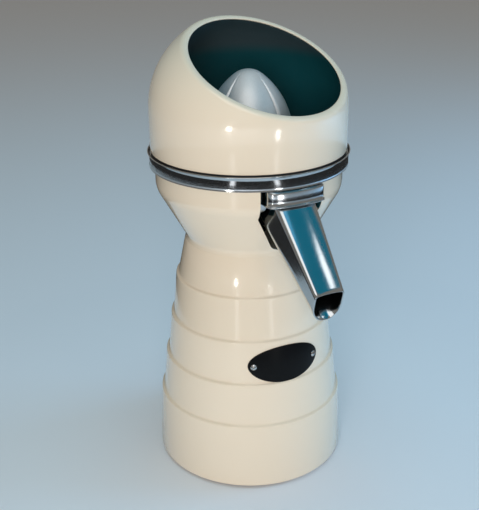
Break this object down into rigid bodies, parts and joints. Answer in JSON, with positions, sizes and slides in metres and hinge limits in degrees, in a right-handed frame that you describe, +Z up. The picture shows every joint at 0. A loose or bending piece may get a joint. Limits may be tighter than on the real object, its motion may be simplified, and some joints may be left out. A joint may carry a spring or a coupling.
{
  "type": "electric citrus juicer",
  "caption": "Counter-top electric citrus juicer with a stepped cast body, a stainless bowl and spout, a ribbed reamer and a turning dome with a slanted mouth.",
  "frame": {"origin": "on the spindle axis at counter level, in the middle of the rubber sole's underside", "axes": "+Z up along the spindle; -Y towards the spout, the front; +X to the left of a person who faces the front"},
  "size_m": [0.162, 0.2141, 0.3727],
  "materials": {
    "enamel": "gloss",
    "dark_enamel": "satin",
    "badge_enamel": "gloss",
    "polished_steel": "polished",
    "strainer_steel": "satin",
    "bright_steel": "bright",
    "zinc_steel": "zinc plated",
    "stack_steel": "laminated, varnished",
    "copper_wire": "varnished copper wire",
    "cast_aluminium": "cast",
    "can_aluminium": "drawn",
    "cast_reamer": "satin",
    "rubber": "matt",
    "black_plastic": "fine texture",
    "rocker_plastic": "gloss",
    "pale_plastic": "matt"
  },
  "bodies": {
    "housing": {"body_casting": "enamel", "cup_casting": "enamel", "base_plate": "zinc_steel", "base_screws": "zinc_steel", "rubber_sole": "rubber", "nameplate": "badge_enamel", "nameplate_screws": "bright_steel", "upper_motor_bracket": "cast_aluminium", "lower_motor_bracket": "cast_aluminium", "stator_stack": "stack_steel", "stator_windings": "copper_wire", "upper_bearing": "bright_steel", "lower_bearing": "bright_steel", "motor_through_bolts": "zinc_steel", "motor_mount_screws": "zinc_steel", "shaft_seal": "rubber", "run_capacitor": "can_aluminium", "capacitor_clamp": "zinc_steel", "terminal_block": "pale_plastic", "inner_screws": "zinc_steel", "cable_gland": "black_plastic", "gland_locknut": "zinc_steel", "switch_housing": "black_plastic", "bowl_gasket": "rubber"},
    "spindle": {"motor_shaft": "bright_steel", "rotor": "stack_steel", "cooling_fan": "black_plastic", "slinger": "rubber", "drive_pin": "bright_steel"},
    "reamer_cone": {"reamer": "cast_reamer"},
    "juice_bowl": {"bowl": "polished_steel", "outlet_collar": "polished_steel", "spout": "polished_steel"},
    "strainer_dish": {"strainer": "strainer_steel"},
    "dome_ring": {"glide_ring": "black_plastic"},
    "dome_guard": {"dome": "enamel", "dome_liner": "dark_enamel"},
    "power_switch": {"switch_rocker": "rocker_plastic"}
  },
  "joints": [
    {"name": "spindle_spin", "type": "hinge", "parent": "housing", "child": "spindle", "pos_m": [0, 0, 0.15], "axis": [0, 0, 1], "continuous": true},
    {"name": "reamer_lift", "type": "slide", "parent": "spindle", "child": "reamer_cone", "axis": [0, 0, 1], "range_m": [0, 0.15]},
    {"name": "bowl_lift", "type": "slide", "parent": "housing", "child": "juice_bowl", "axis": [0, 0, 1], "range_m": [0, 0.1]},
    {"name": "strainer_lift", "type": "slide", "parent": "juice_bowl", "child": "strainer_dish", "axis": [0, 0, 1], "range_m": [0, 0.03]},
    {"name": "dome_turn", "type": "hinge", "parent": "juice_bowl", "child": "dome_ring", "pos_m": [0, 0, 0.28], "axis": [0, 0, 1], "continuous": true},
    {"name": "dome_lift", "type": "slide", "parent": "dome_ring", "child": "dome_guard", "axis": [0, 0, 1], "range_m": [0, 0.12]},
    {"name": "switch_rock", "type": "hinge", "parent": "housing", "child": "power_switch", "pos_m": [0, 0.0745, 0.038], "axis": [1, 0, 0], "range_deg": [0, 18]}
  ],
  "couplings": [
    {"joint": "bowl_lift", "follows": "reamer_lift", "ratio": 0.66},
    {"joint": "strainer_lift", "follows": "reamer_lift", "ratio": 0.2}
  ]
}
